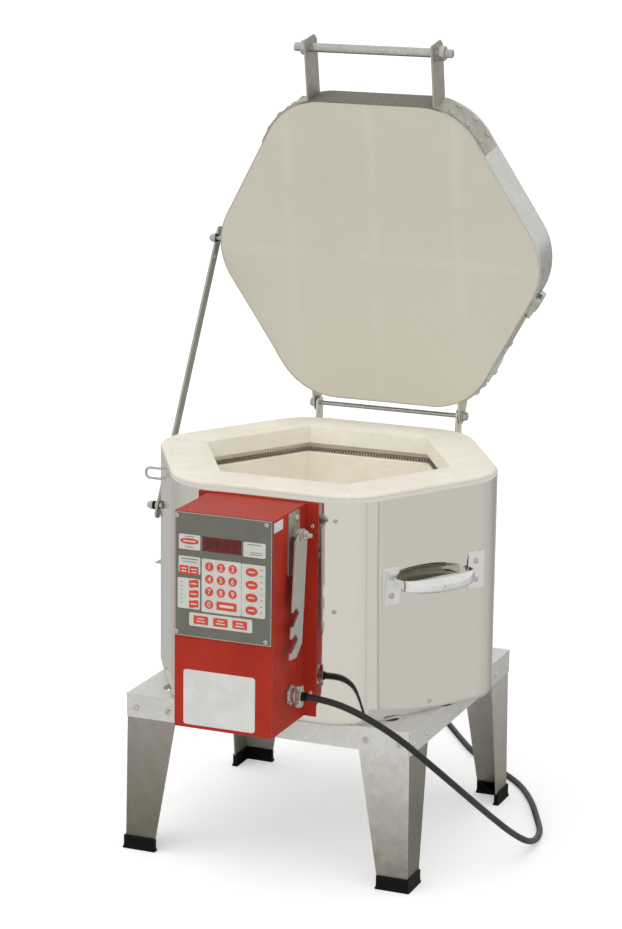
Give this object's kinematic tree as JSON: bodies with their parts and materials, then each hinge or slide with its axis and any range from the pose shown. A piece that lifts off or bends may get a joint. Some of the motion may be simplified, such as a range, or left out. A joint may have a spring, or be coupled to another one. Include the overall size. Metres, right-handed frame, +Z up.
{
  "type": "electric craft kiln",
  "caption": "Six-sided electric craft kiln with its lid open, red control box and cord, on a sheet-metal stand.",
  "frame": {"origin": "middle of the foot print of everything but the power cord, on the floor plane", "axes": "+Z up, -Y towards the control box, +X to the right seen from the control box"},
  "size_m": [0.5739, 0.877, 1.0695],
  "materials": {
    "galvanised": "dull galvanised sheet, satin",
    "stainless": "bright stainless sheet, polished",
    "zinc": "zinc-plated steel, satin",
    "chrome": "polished chrome",
    "rubber": "matt black rubber",
    "firebrick": "soft insulating firebrick, matt cream",
    "coated_brick": "firebrick with a smooth wash coat, matt",
    "porcelain": "white porcelain",
    "element_wire": "oxidised resistance wire, matt",
    "red_paint": "red powder coat, satin",
    "grey_plate": "dark grey printed panel, satin",
    "white_print": "white printed film, satin",
    "red_print": "red printed film, satin",
    "red_window": "dark red display window, gloss",
    "circuit_board": "green circuit board",
    "black_plastic": "black moulded plastic",
    "white_plastic": "white moulded plastic",
    "brass": "plain brass"
  },
  "bodies": {
    "kiln": {"stand_deck": "galvanised", "stand_leg_rear_right": "galvanised", "stand_leg_rear_left": "galvanised", "stand_leg_front_right": "galvanised", "stand_leg_front_left": "galvanised", "foot_caps": "rubber", "stand_screws": "zinc", "case_wrap": "stainless", "bottom_sheet": "galvanised", "floor_slab": "firebrick", "wall_bricks_lower": "firebrick", "wall_bricks_upper": "firebrick", "heating_elements": "element_wire", "feedthrough_tubes": "porcelain", "thermocouple": "porcelain", "case_screws": "zinc", "box_back_plate": "red_paint", "control_box": "red_paint", "control_faceplate": "grey_plate", "display_window": "red_window", "box_screws": "zinc", "keypad_panels": "white_print", "keypad_keys": "red_print", "blank_plates": "white_print", "controller_board": "circuit_board", "display_module": "black_plastic", "power_relays": "black_plastic", "transformer": "zinc", "terminal_block": "white_plastic", "strain_relief": "zinc", "cord_coil": "rubber", "power_cord": "rubber", "plug_body": "rubber", "plug_blades": "brass", "prop_bracket": "red_paint", "prop_pivot_bolt": "zinc", "carry_handle_right": "chrome", "carry_handle_left": "chrome", "handle_rivets": "zinc", "hinge_post_right": "zinc", "hinge_post_left": "zinc", "hinge_rod": "zinc", "hinge_nuts": "zinc", "arm_pivot_bolt": "zinc", "friction_washer": "rubber", "arm_rest_strip": "zinc", "wire_ring": "zinc"},
    "lid": {"lid_slab": "coated_brick", "lid_band": "stainless", "rim_clamps": "zinc", "handle_strap_left": "zinc", "handle_strap_right": "zinc", "lid_handle_rod": "chrome", "handle_rod_nuts": "zinc", "lid_stud": "zinc", "hinge_strap_left": "zinc", "hinge_strap_right": "zinc", "strap_screws": "zinc"},
    "arm": {"support_arm": "zinc"},
    "prop": {"vent_prop": "zinc"}
  },
  "joints": [
    {"name": "lid_hinge", "type": "hinge", "parent": "kiln", "child": "lid", "pos_m": [0.01106, 0.26092, 0.5402], "axis": [1, 0, 0], "range_deg": [0, 79.5]},
    {"name": "arm_pivot", "type": "hinge", "parent": "kiln", "child": "arm", "pos_m": [-0.23794, 0.02722, 0.425], "axis": [-1, 0, 0], "range_deg": [0, 138]},
    {"name": "prop_pivot", "type": "hinge", "parent": "kiln", "child": "prop", "pos_m": [0.08256, -0.23328, 0.48], "axis": [-1, 0, 0], "range_deg": [-8, 180]}
  ]
}
